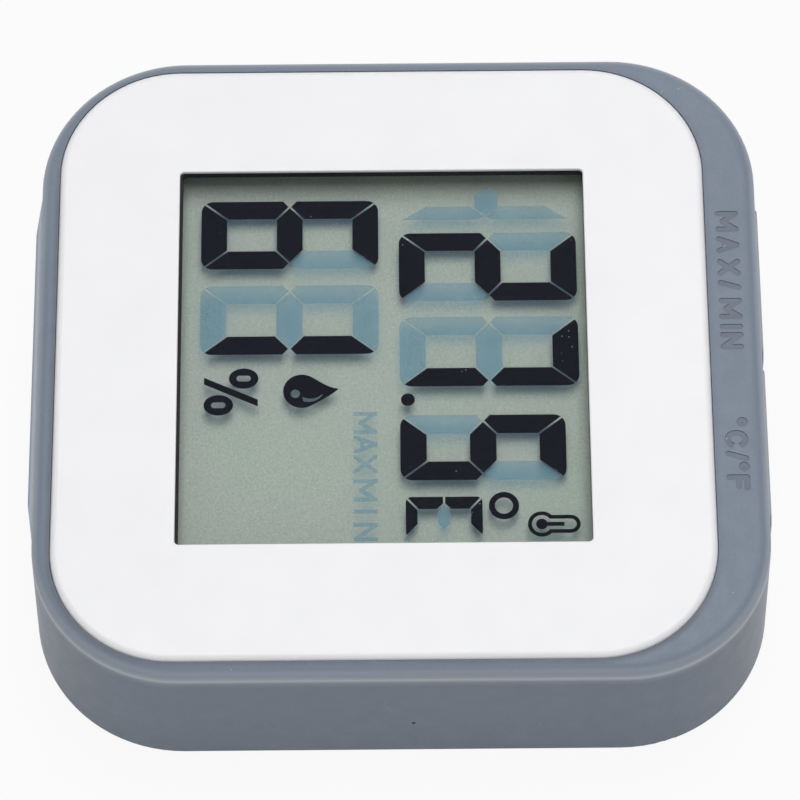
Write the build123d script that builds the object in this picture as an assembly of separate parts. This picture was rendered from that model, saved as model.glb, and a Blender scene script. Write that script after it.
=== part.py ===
from build123d import *
import os
from math import atan2, cos, degrees, hypot, radians, sin

# Room thermometer and hygrometer in a silicone sleeve. Sizes in millimetres.
# X is the reading direction of the display, Y points to the top of the display, Z out of it.
# The device lies on its back. The origin is the middle of the sleeve's back face.

# White front panel
panel_corner = 10.0
panel_edge_round = 0.6
panel_rise = 0.3
panel_wall = 1.6

# Silicone sleeve
sleeve_corner = 12.0
sleeve_lean = 0.43
rim_side = 1.2
rim_bottom = 1.5
rim_top = 4.32
rim_round = 1.1
back_round = 0.5
back_lip = 1.2
back_lip_reach = 7.0
back_opening_corner = 6.0
sleeve_fit = 0.04
gate_radius = 0.18
gate_depth = 0.3
gate_y = 0.9
gate_z = 5.5
cut_overrun = 1.0

# Button pads of the sleeve
pad_end_gap = 1.675
pad_low = 2.2
pad_margin = 1.4
pad_corner = 1.4
pad_proud = 0.18
pad_thickness = 0.95
pad_groove = 0.45
pad_ledge = 0.9
pad_ledge_gap = 0.4
pad_edge_round = 0.25
button_travel = 0.3

# Foot pad on the bottom wall of the sleeve
foot_length = 25.0
foot_ramp = 3.5
foot_proud = 0.45
foot_edge = 0.4

# Lettering pressed into the rim
letter_height = 1.95
letter_stroke = 0.52
letter_depth = 0.08
degree_size = 0.9
degree_stroke_share = 0.8
letter_gap = 0.87
range_word_left = -13.45
unit_word_left = 5.92

# Case
case_wall = 1.6
ledge_reach = 2.7
ledge_cover = 1.1
tray_rise = 1.2
shell_fit = 0.1
tongue_height = 1.2
tongue_wall = 0.7
fence_wall = 1.0
fence_depth = 2.6

# Window and display
window_length = 34.65
window_x = -0.15
window_width = 33.8
window_corner = 0.35
window_round = 0.1
window_lip = 0.3
gasket_thickness = 0.7
gasket_overhang = 0.24
display_side = 1.675
display_end = 1.6
display_fit = 0.3
contact_shelf = 2.5
polariser_thickness = 0.15
polariser_inset = 0.4
front_glass_thickness = 0.55
cell_gap = 0.06
figure_thickness = 0.04
figure_clearance = 0.01
seal_width = 0.8
rear_glass_thickness = 1.1
reflector_thickness = 0.2
zebra_width = 1.6
foam_width = 2.0
strip_end = 2.0

# Display figures
digit_width = 6.62
digit_height = 15.0
digit_bar = 2.33
digit_side = 1.85
small_digit_width = 6.1
small_digit_height = 13.75
unit_width = 3.78
unit_height = 6.42
unit_bar = 1.12
unit_side = 1.25
digit_corner = 1.0
waist_depth = 0.6
waist_half = 0.53
unit_corner = 0.5
unit_waist_depth = 0.72
figure_gap = 0.17
temperature_base = 1.32
humidity_base = -15.22
tens_left = -12.42
ones_left = -4.43
tenths_left = 4.72
unit_left = 12.18
unit_base = 1.72
humidity_tens_left = -15.6
humidity_ones_left = -7.52
point_radius = 0.57
point_x = 3.33
point_y = 2.06
ring_outer = 1.23
ring_inner = 0.74
ring_x = 13.1
ring_y = 9.8
idle_word_height = 1.95
idle_word_stroke = 0.33
idle_word_y = -2.43
idle_word_left = 4.45

# Circuit board
board_gap = 1.3
board_room = 1.35
board_thickness = 1.0
board_notch_clearance = 0.6
zebra_height = 3.3
post_radius = 1.9
post_overlap = 0.3
post_end = 6.5
side_room = 2.0
end_room = 5.6
board_screw_radius = 0.85
board_screw_head_radius = 1.6
board_screw_head_height = 1.1
board_screw_bite = 2.4
screw_clearance = 0.2
thread_clearance = 0.03

# Case screws
boss_radius = 2.4
boss_overlap = 0.3
case_screw_radius = 1.0
case_screw_head_radius = 1.9
case_screw_head_height = 1.2
case_screw_bite = 4.5
cross_width = 0.5
cross_depth_share = 0.55
cross_reach_share = 0.62

# Side pressed switches and key stems
switch_length = 4.6
switch_depth = 3.5
switch_height = 1.7
plunger_length = 2.2
plunger_height = 0.9
plunger_out = 0.8
plunger_in = 1.0
plunger_fit = 0.05
dome_radius = 0.7
dome_thickness = 0.12
dome_rise = 0.2
key_length = 8.0
key_height = 3.6
key_flange = 0.8
key_flange_reach = 1.0
key_fit = 0.3

# Coin cell bay and door
cell_radius = 10.0
cell_thickness = 3.2
cell_rim = 0.9
cell_step = 0.25
bay_y = -5.0
bay_clearance = 0.4
bay_wall = 1.2
bay_floor = 0.8
bay_headroom = 1.1
door_radius = 11.8
door_fit = 0.2
door_thickness = 1.4
door_gap = 0.1
neck_wall = 1.0
neck_fit = 0.2
tab_reach = 1.7
tab_height = 0.8
tab_angle = 36.0
tab_count = 3
tab_side_clearance = 2.0
tab_clearance = 0.3
door_turn = 35.0
coin_slot_length = 13.0
coin_slot_width = 1.8
coin_slot_depth = 0.7

# Contacts
strip_thickness = 0.2
contact_gap = 0.05
positive_width = 4.0
positive_recess = 0.35
negative_width = 3.0
negative_reach = 7.0
leg_width = 1.6
leg_fit = 0.15

# Parts on the board
blob_radius = 4.2
blob_height = 1.2
chip_part_length = 1.6
chip_part_width = 0.8
chip_part_height = 0.55
crystal_radius = 1.0
crystal_length = 6.0
crystal_gap = 3.2
crystal_y_share = 0.25
sensor_length = 8.0
sensor_width = 5.0
sensor_thickness = 0.7
sensor_stand = 1.6
lead_thickness = 0.4
bead_radius = 1.1
bead_stand = 2.2
sensor_x = 6.5
sensor_inset = 10.73

# Vents in the back case
vent_length = 7.0
vent_width = 1.0
vent_pitch = 2.3
vent_rows = 7

# Heights above the back face, from the case's back up through cell, board and display to the window
case_back = back_lip
back_inner = case_back + case_wall
case_split = back_inner + tray_rise
groove_top = back_inner + door_gap + tab_height + tab_clearance
cell_low = case_back + door_thickness + contact_gap
bay_top = cell_low + cell_thickness + bay_headroom
board_back = bay_top + bay_floor + board_room
board_top = board_back + board_thickness
figure_level = board_top + zebra_height
glass_top = figure_level + front_glass_thickness
display_top = glass_top + polariser_thickness
window_back = display_top + gasket_thickness
panel_top = window_back + window_lip
sleeve_height = panel_top - panel_rise
ledge_top = sleeve_height - ledge_cover
front_inner = panel_top - panel_wall
rear_glass_top = figure_level - cell_gap
reflector_top = rear_glass_top - rear_glass_thickness
display_back = reflector_top - reflector_thickness
pad_height = sleeve_height - pad_low - pad_margin
pad_z = pad_low + pad_height / 2
switch_z = board_back - switch_height / 2

# Sizes in plan, from the window out through display, fence and board posts to the case and sleeve
display_length = window_length + 2 * display_side
display_width = window_width + 2 * display_end
post_x = display_length / 2 + display_fit + fence_wall - post_overlap + post_radius
panel_length = 2 * (post_x + post_radius + side_room + case_wall)
panel_width = display_width + 2 * (display_fit + fence_wall + end_room + case_wall)
panel_y = (rim_bottom - rim_top) / 2
sleeve_length = panel_length + 2 * rim_side
sleeve_width = panel_width + rim_top + rim_bottom
case_width = panel_width + ledge_reach
case_y = panel_y + ledge_reach / 2
case_top_y = case_y + case_width / 2
case_bottom_y = case_y - case_width / 2
inner_top_y = case_top_y - case_wall
wall_y = sleeve_width / 2
case_inner_corner = panel_corner - case_wall
board_length = panel_length - 2 * (case_wall + board_gap)
sensor_y = inner_top_y - sensor_inset
pad_length = sleeve_length / 2 - sleeve_corner - pad_groove / 2 - pad_end_gap
pad_x = pad_length / 2 + pad_groove / 2
pad_back_y = wall_y + pad_proud - pad_thickness
key_inner_y = inner_top_y - key_fit - key_flange
switch_front_y = key_inner_y - plunger_out
plunger_hole_y = switch_front_y - plunger_in - button_travel - dome_rise - dome_thickness - plunger_fit
zebra_y = panel_y - display_width / 2 - contact_shelf / 2
neck_outer = cell_radius + bay_clearance + neck_wall
positive_leg_x = cell_radius + contact_gap + strip_thickness / 2
negative_leg_x = -negative_reach
door_angles = [90 + 360 / tab_count * number for number in range(tab_count)]

# The largest share of its half height that a slab's corner radius may take
full_corner_share = 0.99


def block(length, width, low, high, corner=0, x=0, y=0):
    """A slab between two heights, with round upright edges where a corner radius is given."""
    outline = RectangleRounded(length, width, corner) if corner else Rectangle(length, width)
    return Pos(x, y, low) * extrude(outline, high - low)


def disc(radius, low, high, x=0, y=0):
    """An upright round slab between two heights."""
    return Pos(x, y, low) * extrude(Circle(radius), high - low)


def wall_block(length, height, near_y, far_y, corner, x, z):
    """A slab that runs along Y, with a rounded outline in the XZ plane."""
    outline = Plane((x, far_y, z), x_dir=(1, 0, 0), z_dir=(0, -1, 0)) * RectangleRounded(length, height, corner)
    return extrude(outline, far_y - near_y)


def sector(radius, start, angle, low, high):
    """A slice of an upright round slab."""
    half = radius / cos(radians(angle / 2))
    ends = [start, start + angle / 2, start + angle]
    points = [(0, 0)] + [(half * cos(radians(a)), half * sin(radians(a))) for a in ends]
    return Pos(0, 0, low) * extrude(Polygon(*points, align=None), high - low)


def leaning_block(grow=0):
    """The outside of the sleeve, whose walls lean out towards the back."""
    lean_angle = degrees(atan2(sleeve_lean, sleeve_height))
    outline = RectangleRounded(sleeve_length + 2 * grow, sleeve_width + 2 * grow, sleeve_corner + grow)
    return Pos(0, 0, sleeve_height) * extrude(outline, -sleeve_height, taper=-lean_angle)


def edges_at(solid, height):
    """The edges of a solid that lie flat at one height."""
    return solid.edges().filter_by_position(Axis.Z, height, height)


def stroke(start, end, thickness):
    """One straight stroke of a letter, with round ends."""
    length = hypot(end[0] - start[0], end[1] - start[1])
    angle = degrees(atan2(end[1] - start[1], end[0] - start[0]))
    middle = Pos((start[0] + end[0]) / 2, (start[1] + end[1]) / 2)
    return middle * Rot(0, 0, angle) * SlotCenterToCenter(length, thickness)


# Each letter as its width and its strokes, in shares of the letter height
letter_shares = {
    "M": (1.03, [((0, 0), (0, 1)), ((0, 1), (0.5, 0.25)), ((0.5, 0.25), (1, 1)), ((1, 1), (1, 0))]),
    "A": (0.83, [((0, 0), (0.5, 1)), ((0.5, 1), (1, 0)), ((0.2, 0.33), (0.8, 0.33))]),
    "X": (0.83, [((0, 0), (1, 1)), ((0, 1), (1, 0))]),
    "I": (0, [((0, 0), (0, 1))]),
    "N": (0.84, [((0, 0), (0, 1)), ((0, 1), (1, 0)), ((1, 0), (1, 1))]),
    "F": (0.77, [((0, 0), (0, 1)), ((0, 1), (1, 1)), ((0, 0.52), (0.85, 0.52))]),
    "/": (0.49, [((0, 0), (1, 1))]),
}
round_letter_share = 0.9
round_letter_mouth_share = 0.8


def letter_width(sign, height, thickness):
    return max(letter_shares[sign][0] * height, thickness)


def run_past(start, end, length):
    """The end of a stroke, moved on in its own direction."""
    share = length / hypot(end[0] - start[0], end[1] - start[1])
    return (end[0] + (end[0] - start[0]) * share, end[1] + (end[1] - start[1]) * share)


def letter(sign, left, base, height, thickness, past=0):
    """The flat outlines of one letter, as a list that may overlap. Strokes may run past its top and foot."""
    if sign == "C":
        width = round_letter_share * height
        outer = Ellipse(width / 2, height / 2)
        inner = Ellipse(width / 2 - thickness, height / 2 - thickness)
        mouth = height / 2 * round_letter_mouth_share
        wedge = Polygon((0, 0), (width, mouth), (width, -mouth), align=None)
        return [Pos(left + width / 2, base + height / 2) * (outer - inner - wedge)]
    if sign == "o":
        ring = Circle(degree_size / 2) - Circle(degree_size / 2 - thickness * degree_stroke_share)
        return [Pos(left + degree_size / 2, base + height - degree_size / 2) * ring]
    width = letter_width(sign, height, thickness) - thickness
    rise = height - thickness
    corner_x = left + thickness / 2
    corner_y = base + thickness / 2
    shapes = []
    for start, end in letter_shares[sign][1]:
        first = (corner_x + start[0] * width, corner_y + start[1] * rise)
        last = (corner_x + end[0] * width, corner_y + end[1] * rise)
        far_last = run_past(first, last, past) if end[1] in (0, 1) else last
        far_first = run_past(last, first, past) if start[1] in (0, 1) else first
        shapes.append(stroke(far_first, far_last, thickness))
    return shapes


def word(word_shares, word_left, base, height, thickness):
    """The outlines of a row of letters."""
    shapes = []
    for sign, share in word_shares:
        shapes += letter(sign, word_left + share * height, base, height, thickness)
    return shapes


# Words of the rim and of the display, each letter with its left edge as a share of the letter height
range_word_shares = [("M", 0), ("A", 1.246), ("X", 2.349), ("/", 3.374), ("M", 4.246),
                     ("I", 5.497), ("N", 5.887)]
unit_word_shares = [("o", 0), ("C", 0.605), ("/", 1.58), ("o", 2.09), ("F", 2.68)]
idle_word_shares = [("M", 0), ("A", 1.113), ("X", 2.036), ("M", 3.164), ("I", 4.579), ("N", 5.19)]


def make_sleeve():
    """The silicone sleeve: leaning walls, a front rim, a back lip and the button opening."""
    sleeve = leaning_block()
    sleeve = fillet(edges_at(sleeve, sleeve_height), rim_round)
    sleeve = fillet(edges_at(sleeve, 0), back_round)
    sleeve += make_foot()
    case_space = block(panel_length + 2 * sleeve_fit, case_width + 2 * sleeve_fit, back_lip, ledge_top,
                       panel_corner + sleeve_fit, y=case_y)
    panel_space = block(panel_length + 2 * sleeve_fit, panel_width + 2 * sleeve_fit, back_lip,
                        sleeve_height + cut_overrun, panel_corner + sleeve_fit, y=panel_y)
    back_space = block(panel_length - 2 * back_lip_reach, case_width - 2 * back_lip_reach, -cut_overrun,
                       back_lip + cut_overrun, back_opening_corner, y=case_y)
    sleeve = sleeve - case_space - panel_space - back_space
    sleeve -= make_button_opening()
    sleeve -= make_gate_mark()
    base = panel_y + panel_width / 2 + letter_gap
    shapes = word(range_word_shares, range_word_left, base, letter_height, letter_stroke)
    shapes += word(unit_word_shares, unit_word_left, base, letter_height, letter_stroke)
    for shape in shapes:
        sleeve -= Pos(0, 0, sleeve_height - letter_depth) * extrude(shape, letter_depth + cut_overrun)
    return sleeve


def make_gate_mark():
    """The small pit that the moulding gate left on the right wall."""
    wall_x = sleeve_length / 2 + sleeve_lean * (1 - gate_z / sleeve_height)
    return Pos(wall_x, gate_y, gate_z) * Rot(0, 90, 0) * Cylinder(gate_radius, 2 * gate_depth)


def make_foot():
    """The shallow raised pad on the bottom wall, which the device can stand on. It leans with the wall."""
    half = foot_length / 2
    end = half + foot_ramp
    root_y = -wall_y + rim_bottom / 2
    sections = []
    for z in (pad_low, pad_low + pad_height):
        out_y = -wall_y - sleeve_lean * (1 - z / sleeve_height)
        proud_y = out_y - foot_proud
        sections.append(Pos(0, 0, z) * Polygon((-end, root_y), (-end, out_y), (-half, proud_y), (half, proud_y),
                                               (end, out_y), (end, root_y), align=None))
    foot = loft(sections, ruled=True)
    outer = foot.faces().sort_by(Axis.Y)[0]
    return fillet(outer.edges().filter_by(Axis.X), foot_edge)


def make_button_opening():
    """The opening for both pads: wide outside, and narrower behind them, where a ledge closes the groove."""
    ledge_y = pad_back_y - pad_ledge_gap
    opening = Part()
    for side in (-1, 1):
        outer = wall_block(pad_length + 2 * pad_groove, pad_height + 2 * pad_groove, ledge_y,
                           wall_y + rim_top, pad_corner + pad_groove, side * pad_x, pad_z)
        inner = wall_block(pad_length - 2 * pad_ledge, pad_height - 2 * pad_ledge, inner_top_y,
                           wall_y + rim_top, pad_corner, side * pad_x, pad_z)
        opening += outer + inner
    return opening


def make_pad(side):
    """One button pad, cut from the leaning outside of the sleeve and standing a little proud of it."""
    blank = wall_block(pad_length, pad_height, pad_back_y, wall_y + rim_top, pad_corner, side * pad_x, pad_z)
    pad = leaning_block(pad_proud) & blank
    return fillet(pad.faces().sort_by(Axis.Y)[-1].edges(), pad_edge_round)


def make_key(side):
    """A rigid stem from pad to switch, with a flange that keeps it inside the case wall."""
    x = side * pad_x
    stem = wall_block(key_length, key_height, key_inner_y, pad_back_y, key_height / 4, x, switch_z)
    length = key_length + 2 * key_flange_reach
    height = key_height + 2 * key_flange_reach
    flange = wall_block(length, height, key_inner_y, key_inner_y + key_flange, key_height / 4, x, switch_z)
    return stem + flange


def make_switch_body(side):
    """A side pressed switch, soldered under the board's top edge."""
    front = switch_front_y
    x = side * pad_x
    body = block(switch_length, switch_depth, board_back - switch_height, board_back, x=x,
                 y=front - switch_depth / 2)
    hole = wall_block(plunger_length + 2 * plunger_fit, 2 * dome_radius + 2 * plunger_fit, plunger_hole_y,
                      front - plunger_in / 2, plunger_fit, x, switch_z)
    mouth = wall_block(plunger_length + 2 * plunger_fit, plunger_height + 2 * plunger_fit, plunger_hole_y,
                       front + cut_overrun, plunger_fit, x, switch_z)
    return body - hole - mouth


def make_plunger(side):
    front = switch_front_y
    return wall_block(plunger_length, plunger_height, front - plunger_in, front + plunger_out,
                      plunger_fit, side * pad_x, switch_z)


def make_dome(side):
    """The sprung metal disc behind the plunger, bowed towards it."""
    sphere_radius = (dome_radius ** 2 + dome_rise ** 2) / (2 * dome_rise)
    middle_y = plunger_hole_y + dome_rise + dome_thickness - sphere_radius
    outer = Sphere(sphere_radius)
    inner = Sphere(sphere_radius - dome_thickness)
    shell = Pos(side * pad_x, middle_y, switch_z) * (outer - inner)
    zone = wall_block(2 * dome_radius, 2 * dome_radius, plunger_hole_y, switch_front_y,
                      dome_radius * full_corner_share, side * pad_x, switch_z)
    return shell & zone


def boss_places():
    """The four case screws sit in the rounded corners of the case."""
    reach = case_inner_corner - boss_radius + boss_overlap
    x = panel_length / 2 - panel_corner + reach * cos(radians(45))
    low = case_bottom_y + panel_corner - reach * sin(radians(45))
    high = case_top_y - panel_corner + reach * sin(radians(45))
    return [(side * x, y) for side in (-1, 1) for y in (low, high)]


def post_places():
    """The four board screws stand beside the display."""
    reach = display_width / 2 - post_end
    return [(side * post_x, panel_y + y) for side in (-1, 1) for y in (-reach, reach)]


def display_pocket(low, high, grow=0):
    """The space round the display, with its contact shelf on the bottom side."""
    length = display_length + 2 * (display_fit + grow)
    width = display_width + contact_shelf + 2 * (display_fit + grow)
    return block(length, width, low, high, y=panel_y - contact_shelf / 2)


def make_front_case():
    """The white front shell with window, display fence, board posts and screw bosses."""
    body = block(panel_length, case_width, case_split, ledge_top, panel_corner, y=case_y)
    panel = block(panel_length, panel_width, case_split, panel_top, panel_corner, y=panel_y)
    shell = body + fillet(edges_at(panel, panel_top), panel_edge_round)
    inner_length = panel_length - 2 * case_wall
    low_space = block(inner_length, case_width - 2 * case_wall, case_split, ledge_top - case_wall,
                      case_inner_corner, y=case_y)
    high_space = block(inner_length, panel_width - 2 * case_wall, case_split, front_inner,
                       case_inner_corner, y=panel_y)
    shell = shell - low_space - high_space
    fence = display_pocket(front_inner - fence_depth, front_inner, fence_wall)
    shell += fence
    for x, y in post_places():
        shell += disc(post_radius, board_top, front_inner, x, y)
    for x, y in boss_places():
        shell += disc(boss_radius, case_split, front_inner, x, y)
    shell -= display_pocket(front_inner - fence_depth, window_back)
    for x, y in post_places():
        bore = board_screw_radius + thread_clearance
        shell -= disc(bore, board_top - cut_overrun, board_top + board_screw_bite + screw_clearance, x, y)
    for x, y in boss_places():
        bore = case_screw_radius + thread_clearance
        shell -= disc(bore, case_split - cut_overrun, case_split + case_screw_bite + screw_clearance, x, y)
    window = block(window_length, window_width, front_inner, panel_top + cut_overrun, window_corner,
                   window_x, panel_y)
    shell -= window
    rim_x = window_length / 2 + window_round
    rim_y = window_width / 2 + window_round
    rim = [edge for edge in edges_at(shell, panel_top)
           if abs(edge.center().X - window_x) < rim_x and abs(edge.center().Y - panel_y) < rim_y]
    shell = fillet(rim, window_round)
    for side in (-1, 1):
        shell -= wall_block(key_length + 2 * key_fit, key_height + 2 * key_fit, inner_top_y - cut_overrun,
                            case_top_y + cut_overrun, key_height / 4 + key_fit, side * pad_x, switch_z)
    return shell


def make_gasket():
    """The black frame between the window lip and the display. It shows in the window at one end only."""
    outer = display_pocket(display_top, window_back, -display_fit / 2)
    inner = block(window_length, window_width - gasket_overhang, display_top, window_back, window_corner,
                  window_x, panel_y + gasket_overhang / 2)
    return outer - inner


def display_sheet(low, high, inset=0, shelf=0):
    """One flat layer of the display. The shelf reaches past the others at the bottom."""
    length = display_length - 2 * inset
    width = display_width - 2 * inset + shelf
    return block(length, width, low, high, y=panel_y - shelf / 2)


def make_edge_seal():
    outer = display_sheet(rear_glass_top, figure_level)
    return outer - display_sheet(rear_glass_top, figure_level, seal_width)


def figure_solids(shapes):
    """Thin plates for display figures, between the two glasses."""
    top = figure_level - figure_clearance
    plates = []
    for shape in shapes:
        plate = Pos(0, panel_y, top - figure_thickness) * extrude(shape, figure_thickness)
        plates += plate.solids()
    return plates


def segment_outlines(width, height, side, bar, waist, notch):
    """The seven segments of a digit, with mitred ends and a notch on each side of its waist."""
    middle = height / 2
    half = bar / 2
    right = width - side
    return {
        "a": [(0, height), (width, height), (right, height - bar), (side, height - bar)],
        "b": [(width, height), (width, middle + notch), (width - waist, middle), (right, middle + half),
              (right, height - bar)],
        "c": [(width, 0), (width, middle - notch), (width - waist, middle), (right, middle - half),
              (right, bar)],
        "d": [(0, 0), (side, bar), (right, bar), (width, 0)],
        "e": [(0, 0), (0, middle - notch), (waist, middle), (side, middle - half), (side, bar)],
        "f": [(0, height), (0, middle + notch), (waist, middle), (side, middle + half), (side, height - bar)],
        "g": [(waist, middle), (side, middle + half), (right, middle + half), (width - waist, middle),
              (right, middle - half), (side, middle - half)],
    }


def segments(left, base, width, height, names):
    """The named segments of one digit, each drawn in by half the gap, with the digit's corners rounded."""
    outlines = segment_outlines(width, height, digit_side, digit_bar, waist_depth, waist_half)
    return cut_segments(left, base, width, height, digit_corner, [outlines[name] for name in names])


def unit_segments(names):
    """The named segments of the unit letter, whose two upright halves meet squarely at the waist."""
    outlines = segment_outlines(unit_width, unit_height, unit_side, unit_bar, unit_waist_depth, 0)
    return cut_segments(unit_left, unit_base, unit_width, unit_height, unit_corner,
                        [outlines[name] for name in names])


def cut_segments(left, base, width, height, corner, outlines):
    frame = Pos(width / 2, height / 2) * RectangleRounded(width - figure_gap, height - figure_gap, corner)
    faces = [offset(make_face(Polyline(*outline, close=True)), -figure_gap / 2, kind=Kind.INTERSECTION)
             for outline in outlines]
    return [Pos(left, base) * (face & frame) for face in faces]


# Digits of the display: left edge, base line, width, height and lit segments
digits = [
    (tens_left, temperature_base, digit_width, digit_height, "abged"),
    (ones_left, temperature_base, digit_width, digit_height, "abc"),
    (tenths_left, temperature_base, small_digit_width, small_digit_height, "afgcd"),
    (humidity_tens_left, humidity_base, digit_width, digit_height, "afgecd"),
    (humidity_ones_left, humidity_base, digit_width, digit_height, "bc"),
]


def lit_figures():
    """All dark figures: digits, point, degree ring, unit letter and three small signs."""
    shapes = []
    for left, base, width, height, lit in digits:
        shapes += segments(left, base, width, height, lit)
    shapes += unit_segments("afed")
    shapes.append(Pos(point_x, point_y) * Circle(point_radius))
    shapes.append(Pos(ring_x, ring_y) * (Circle(ring_outer) - Circle(ring_inner)))
    shapes += percent_sign()
    shapes.append(drop_sign())
    shapes += thermometer_sign()
    return shapes


# Percent sign: two oval rings with long holes, and a slash whose ends are level
percent_ring_x = 0.935
percent_ring_y = 1.215
percent_hole_length = 1.19
percent_hole_width = 0.55
percent_high = (1.25, -11.48)
percent_low = (3.71, -13.55)
slash_foot_x = 1.46
slash_foot_y = -14.75
slash_head_x = 3.52
slash_head_y = -10.3
slash_width = 0.62


def percent_sign():
    hole = Rot(0, 0, 90) * SlotOverall(percent_hole_length, percent_hole_width)
    ring = Ellipse(percent_ring_x, percent_ring_y) - hole
    half = slash_width / 2
    slash = Polygon((slash_foot_x - half, slash_foot_y), (slash_foot_x + half, slash_foot_y),
                    (slash_head_x + half, slash_head_y), (slash_head_x - half, slash_head_y), align=None)
    return [Pos(*percent_high) * ring, Pos(*percent_low) * ring, slash]


# Drop sign: a round belly and a tip that leans to the left, with a round and a crescent light spot
drop_x = 2.47
drop_y = -6.68
drop_radius = 1.535
drop_shoulder = 30.0
drop_tip = 3.03
drop_tip_shift = -0.2
drop_pull_share = 0.59
drop_left_shares = (-0.08, -0.62)
drop_right_shares = (0.39, -0.39)
drop_spot = 0.39
drop_spot_x = 0.22
drop_spot_y = -0.53
crescent_root = (0.5, 0.02)
crescent_heel = (0.95, 0.15)
crescent_tip = (0.2, 1.78)
crescent_inside = (0.68, 0.8)
crescent_outside = (1.0, 0.75)


def drop_sign():
    shoulder_x = drop_radius * cos(radians(drop_shoulder))
    shoulder_y = drop_radius * sin(radians(drop_shoulder))
    pull_x = drop_pull_share * shoulder_y
    pull_y = drop_pull_share * shoulder_x
    left_x, left_y = (drop_radius * share for share in drop_left_shares)
    right_x, right_y = (drop_radius * share for share in drop_right_shares)
    tip = (drop_tip_shift, drop_tip)
    belly = ThreePointArc((shoulder_x, shoulder_y), (0, -drop_radius), (-shoulder_x, shoulder_y))
    left = Bezier((-shoulder_x, shoulder_y), (-shoulder_x + pull_x, shoulder_y + pull_y),
                  (drop_tip_shift + left_x, drop_tip + left_y), tip)
    right = Bezier(tip, (drop_tip_shift + right_x, drop_tip + right_y),
                   (shoulder_x - pull_x, shoulder_y + pull_y), (shoulder_x, shoulder_y))
    drop = make_face(belly + left + right)
    crescent = make_face(ThreePointArc(crescent_root, crescent_inside, crescent_tip)
                         + ThreePointArc(crescent_tip, crescent_outside, crescent_heel)
                         + Line(crescent_heel, crescent_root))
    drop = drop - Pos(drop_spot_x, drop_spot_y) * Circle(drop_spot) - crescent
    return Pos(drop_x, drop_y) * drop


# Thermometer sign: an outlined bulb and tube with a filled core
bulb_x = 14.79
bulb_y = 12.85
bulb_radius = 1.13
tube_half = 0.8
tube_top = 16.0
sign_line = 0.32
core_radius = 0.47
core_half = 0.17
core_top = 14.68


def thermometer_sign():
    length = tube_top - bulb_y - tube_half
    tube = Pos(0, length / 2) * Rectangle(2 * tube_half, length) + Pos(0, length) * Circle(tube_half)
    thin = tube_half - sign_line
    tube_hole = Pos(0, length / 2) * Rectangle(2 * thin, length) + Pos(0, length) * Circle(thin)
    outline = Circle(bulb_radius) + tube - Circle(bulb_radius - sign_line) - tube_hole
    core_length = core_top - bulb_y
    core = Circle(core_radius) + Pos(0, core_length / 2) * Rectangle(2 * core_half, core_length)
    return [Pos(bulb_x, bulb_y) * outline, Pos(bulb_x, bulb_y) * core]


# Idle minus sign and idle hundreds digit, at the left end of the upper row
idle_minus_x = -15.4
idle_minus_y = 8.77
idle_minus_half = 0.98
idle_minus_long = 1.25
idle_one_near = -13.66
idle_one_width = 1.22
idle_one_low = 1.79
idle_one_low_tip = 8.5
idle_one_high_tip = 8.8
idle_one_high = 15.55
idle_one_slant = 1.92
idle_one_mitre = 1.12
idle_one_nib_x = 0.29
idle_one_nib_y = 0.37


def idle_figures():
    """All pale figures: idle segments, the idle words, minus sign and hundreds digit."""
    shapes = []
    for left, base, width, height, lit in digits:
        idle = [name for name in "abcdefg" if name not in lit]
        shapes += segments(left, base, width, height, idle)
    shapes += unit_segments("g")
    side = idle_minus_long / 2
    minus = [(-idle_minus_long, 0), (-side, idle_minus_half), (side, idle_minus_half),
             (idle_minus_long, 0), (side, -idle_minus_half), (-side, -idle_minus_half)]
    shapes.append(Pos(idle_minus_x, idle_minus_y) * make_face(Polyline(*minus, close=True)))
    shapes.append(idle_bar(idle_one_low, idle_one_low_tip, 1))
    shapes.append(idle_bar(idle_one_high, idle_one_high_tip, -1))
    shapes += joined_letters(idle_word_shares, idle_word_left, idle_word_y, idle_word_height, idle_word_stroke)
    return shapes


def idle_bar(end_y, tip_y, way):
    """One upright bar of the idle hundreds digit: a long slant at its end and a small nib at the waist."""
    near = idle_one_near
    left = near - idle_one_width
    points = [(near, end_y), (near, tip_y - way * idle_one_nib_y), (near - idle_one_nib_x, tip_y),
              (left, tip_y - way * idle_one_mitre), (left, end_y + way * idle_one_slant)]
    return make_face(Polyline(*points, close=True))


def joined_letters(word_shares, word_left, base, height, thickness):
    """Letters with flat ends whose strokes are joined, one shape for each letter."""
    shapes = []
    for sign, share in word_shares:
        left = word_left + share * height
        width = letter_width(sign, height, thickness)
        box = Pos(left + width / 2, base + height / 2) * Rectangle(width, height)
        strokes = letter(sign, left, base, height, thickness, thickness)
        whole = strokes[0]
        for piece in strokes[1:]:
            whole += piece
        shapes.append(whole & box)
    return shapes


def make_board():
    """The circuit board, with notches for the case bosses and holes for its screws."""
    board = block(board_length, case_width - 2 * (case_wall + board_gap), board_back, board_top,
                  case_inner_corner - board_gap, y=case_y)
    board -= block(panel_length, inner_top_y - switch_front_y, board_back, board_top,
                   y=(inner_top_y + switch_front_y) / 2)
    for x, y in boss_places():
        board -= disc(boss_radius + board_notch_clearance, board_back, board_top, x, y)
    for x, y in post_places():
        board -= disc(board_screw_radius + screw_clearance, board_back, board_top, x, y)
    return board


def make_screw(radius, head_radius, head_height, head_low, tip):
    """A screw that points up, with a cross recess in its head."""
    screw = disc(head_radius, head_low, head_low + head_height) + disc(radius, head_low + head_height, tip)
    reach = 2 * head_radius * cross_reach_share
    depth = head_height * cross_depth_share
    for angle in (0, 90):
        bar = block(reach, cross_width, head_low - cut_overrun, head_low + depth)
        screw -= Rot(0, 0, angle) * bar
    return screw


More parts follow.
